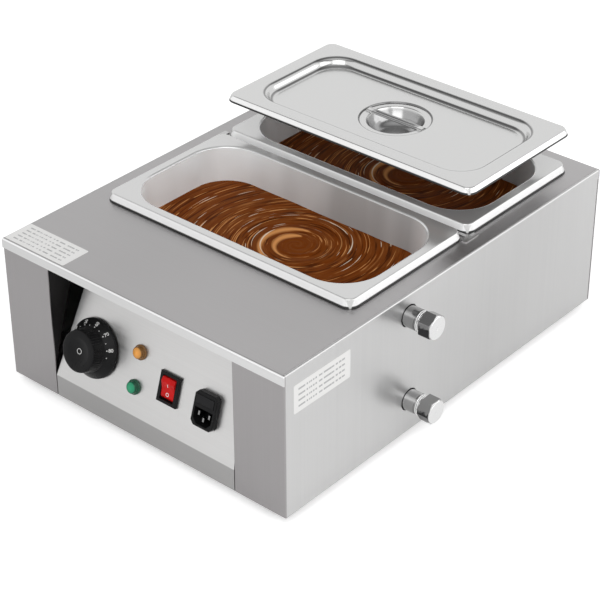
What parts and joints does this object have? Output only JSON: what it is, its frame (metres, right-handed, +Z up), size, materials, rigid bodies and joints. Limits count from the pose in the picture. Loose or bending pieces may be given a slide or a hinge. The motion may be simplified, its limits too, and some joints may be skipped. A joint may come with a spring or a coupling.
{
  "type": "chocolate melter",
  "caption": "Counter-top water-bath chocolate melter with lift-out pans, a lid, a sloping control panel and capped overflow and drain ports.",
  "frame": {"origin": "centre of the whole part's footprint on the floor, port caps and knob included", "axes": "+X to the right side with the ports, +Y to the rear, +Z up; the control panel faces -Y"},
  "size_m": [0.404, 0.5151, 0.22],
  "materials": {
    "housing_steel": "fine brushed stainless sheet",
    "panel_steel": "fine brushed stainless sheet",
    "gusset_paint": "dark matt plate",
    "pan_steel": "polished stainless steel",
    "screw_steel": "bright plated steel",
    "port_chrome": "bright plated fittings",
    "heater_steel": "dull heating tube",
    "contact_brass": "plain contacts",
    "copper_tube": "drawn copper tube",
    "knob_plastic": "glossy black moulding",
    "black_plastic": "black moulding",
    "drawer_plastic": "dark grey moulding",
    "fuse_metal": "plated fuse caps",
    "rocker_plastic": "red translucent rocker",
    "orange_lens": "orange lens",
    "green_lens": "green lens",
    "block_plastic": "pale insulating block",
    "black_rubber": "black rubber",
    "chocolate": "melted chocolate"
  },
  "bodies": {
    "casing": {"top_deck": "housing_steel", "left_side_panel": "housing_steel", "right_side_panel": "housing_steel", "left_gusset": "gusset_paint", "right_gusset": "gusset_paint", "rear_panel": "housing_steel", "rear_screws": "screw_steel", "base_plate": "housing_steel", "rubber_feet": "black_rubber", "foot_screws": "screw_steel", "foot_nuts": "screw_steel", "control_panel": "panel_steel", "water_bath": "pan_steel", "divider_bar": "pan_steel", "heating_element": "heater_steel", "heater_glands": "heater_steel", "heater_nuts": "heater_steel", "heater_seals": "black_rubber", "heater_blades": "contact_brass", "thermostat_body": "black_plastic", "thermostat_nut": "port_chrome", "thermostat_capillary": "copper_tube", "bulb_gland": "heater_steel", "bulb_gland_nut": "heater_steel", "overflow_nipple": "port_chrome", "overflow_locknut": "port_chrome", "overflow_seal": "black_rubber", "drain_nipple": "port_chrome", "drain_locknut": "port_chrome", "drain_seal": "black_rubber", "orange_lamp_lens": "orange_lens", "orange_lamp_barrel": "black_plastic", "orange_lamp_clip": "black_plastic", "green_lamp_lens": "green_lens", "green_lamp_barrel": "black_plastic", "green_lamp_clip": "black_plastic", "switch_frame": "black_plastic", "switch_blades": "contact_brass", "power_inlet": "black_plastic", "inlet_pins": "contact_brass", "terminal_block": "block_plastic", "terminal_screws": "screw_steel"},
    "knob": {"temperature_knob": "knob_plastic", "thermostat_shaft": "port_chrome"},
    "rocker": {"power_rocker": "rocker_plastic"},
    "fuse_drawer": {"fuse_drawer": "drawer_plastic", "fuse": "fuse_metal"},
    "front_pan": {"pan_front": "pan_steel", "chocolate_front": "chocolate"},
    "rear_pan": {"pan_rear": "pan_steel", "chocolate_rear": "chocolate"},
    "lid": {"lid": "pan_steel", "lid_handle": "pan_steel"},
    "overflow_washer": {"overflow_cap_washer": "black_rubber"},
    "overflow_cap": {"overflow_cap": "port_chrome"},
    "drain_washer": {"drain_cap_washer": "black_rubber"},
    "drain_cap": {"drain_cap": "port_chrome"}
  },
  "joints": [
    {"name": "knob_turn", "type": "hinge", "parent": "casing", "child": "knob", "pos_m": [-0.0925, -0.22736, 0.0792], "axis": [0, -0.9511, 0.309], "range_deg": [-300, 0]},
    {"name": "rocker_tilt", "type": "hinge", "parent": "casing", "child": "rocker", "pos_m": [0.0093, -0.2268, 0.07639], "axis": [1, 0, 0], "range_deg": [-24, 0]},
    {"name": "fuse_drawer_slide", "type": "slide", "parent": "casing", "child": "fuse_drawer", "axis": [0, -0.9511, 0.309], "range_m": [0, 0.018]},
    {"name": "front_pan_lift", "type": "slide", "parent": "casing", "child": "front_pan", "axis": [0, 0, 1], "range_m": [0, 0.16]},
    {"name": "rear_pan_lift", "type": "slide", "parent": "casing", "child": "rear_pan", "axis": [0, 0, 1], "range_m": [0, 0.16]},
    {"name": "lid_lift", "type": "slide", "parent": "rear_pan", "child": "lid", "axis": [0, 0, 1], "range_m": [-0.034, 0.1]},
    {"name": "overflow_cap_travel", "type": "slide", "parent": "casing", "child": "overflow_washer", "axis": [1, 0, 0], "range_m": [0, 0.0092]},
    {"name": "overflow_cap_turn", "type": "hinge", "parent": "overflow_washer", "child": "overflow_cap", "pos_m": [0.1965, -0.06388, 0.1463], "axis": [1, 0, 0], "range_deg": [0, 1800]},
    {"name": "drain_cap_travel", "type": "slide", "parent": "casing", "child": "drain_washer", "axis": [1, 0, 0], "range_m": [0, 0.0092]},
    {"name": "drain_cap_turn", "type": "hinge", "parent": "drain_washer", "child": "drain_cap", "pos_m": [0.1965, -0.05988, 0.0474], "axis": [1, 0, 0], "range_deg": [0, 1800]}
  ],
  "couplings": [
    {"joint": "overflow_cap_travel", "follows": "overflow_cap_turn", "m_per_rad": 0.00028871},
    {"joint": "drain_cap_travel", "follows": "drain_cap_turn", "m_per_rad": 0.00028871}
  ]
}
